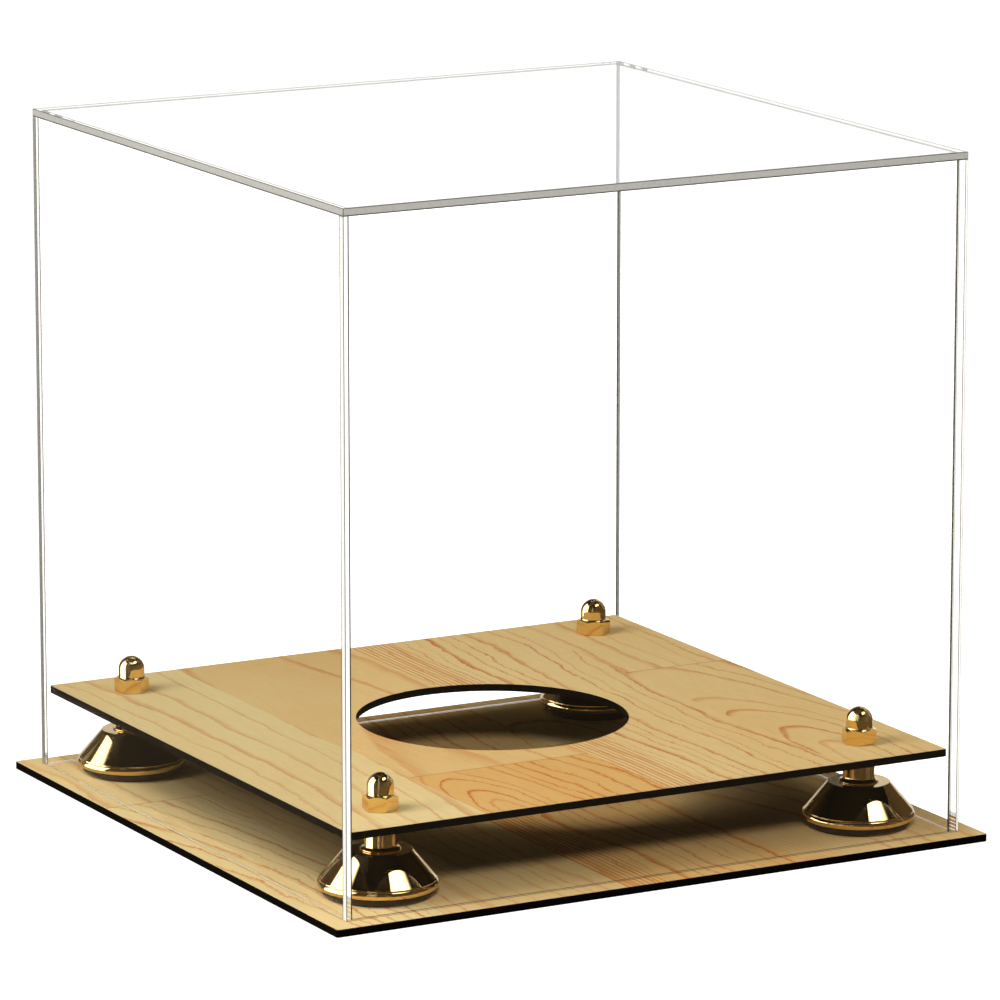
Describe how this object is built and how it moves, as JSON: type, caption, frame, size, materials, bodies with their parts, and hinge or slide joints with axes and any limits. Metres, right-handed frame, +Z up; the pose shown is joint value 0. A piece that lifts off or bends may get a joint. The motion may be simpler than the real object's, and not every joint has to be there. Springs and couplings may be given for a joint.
{
  "type": "ball display case",
  "caption": "Clear cube-shaped display case for a ball: a lift-off cover over a raised wood-look shelf with a round hole, on turned gold risers.",
  "frame": {"origin": "centre of the base board's underside, on the surface the case stands on", "axes": "+Z up, the front of the case faces -Y, +X to the right seen from the front"},
  "size_m": [0.3, 0.3, 0.2855],
  "materials": {
    "clear_acrylic": "clear cast acrylic sheet, polished faces and edges",
    "black_acrylic": "glossy black acrylic with polished cut edges",
    "plank_laminate": "printed maple plank laminate, satin",
    "gold_plate": "polished gold-coloured plating",
    "bolt_steel": "plain steel fastener",
    "foot_rubber": "dark moulded rubber"
  },
  "bodies": {
    "stand": {"base_board": "black_acrylic", "base_laminate": "plank_laminate", "shelf_board": "black_acrylic", "shelf_laminate": "plank_laminate", "riser_foot_front_left": "foot_rubber", "riser_foot_front_right": "foot_rubber", "riser_foot_back_left": "foot_rubber", "riser_foot_back_right": "foot_rubber", "riser_bell_front_left": "gold_plate", "riser_bell_front_right": "gold_plate", "riser_bell_back_left": "gold_plate", "riser_bell_back_right": "gold_plate", "riser_spacer_front_left": "gold_plate", "riser_spacer_front_right": "gold_plate", "riser_spacer_back_left": "gold_plate", "riser_spacer_back_right": "gold_plate", "riser_bolt_front_left": "bolt_steel", "riser_bolt_front_right": "bolt_steel", "riser_bolt_back_left": "bolt_steel", "riser_bolt_back_right": "bolt_steel", "acorn_nut_front_left": "gold_plate", "acorn_nut_front_right": "gold_plate", "acorn_nut_back_left": "gold_plate", "acorn_nut_back_right": "gold_plate"},
    "cover": {"cover_top": "clear_acrylic", "cover_front": "clear_acrylic", "cover_back": "clear_acrylic", "cover_left": "clear_acrylic", "cover_right": "clear_acrylic"}
  },
  "joints": [
    {"name": "cover_lift", "type": "slide", "parent": "stand", "child": "cover", "axis": [0, 0, 1], "range_m": [0, 0.3]}
  ]
}
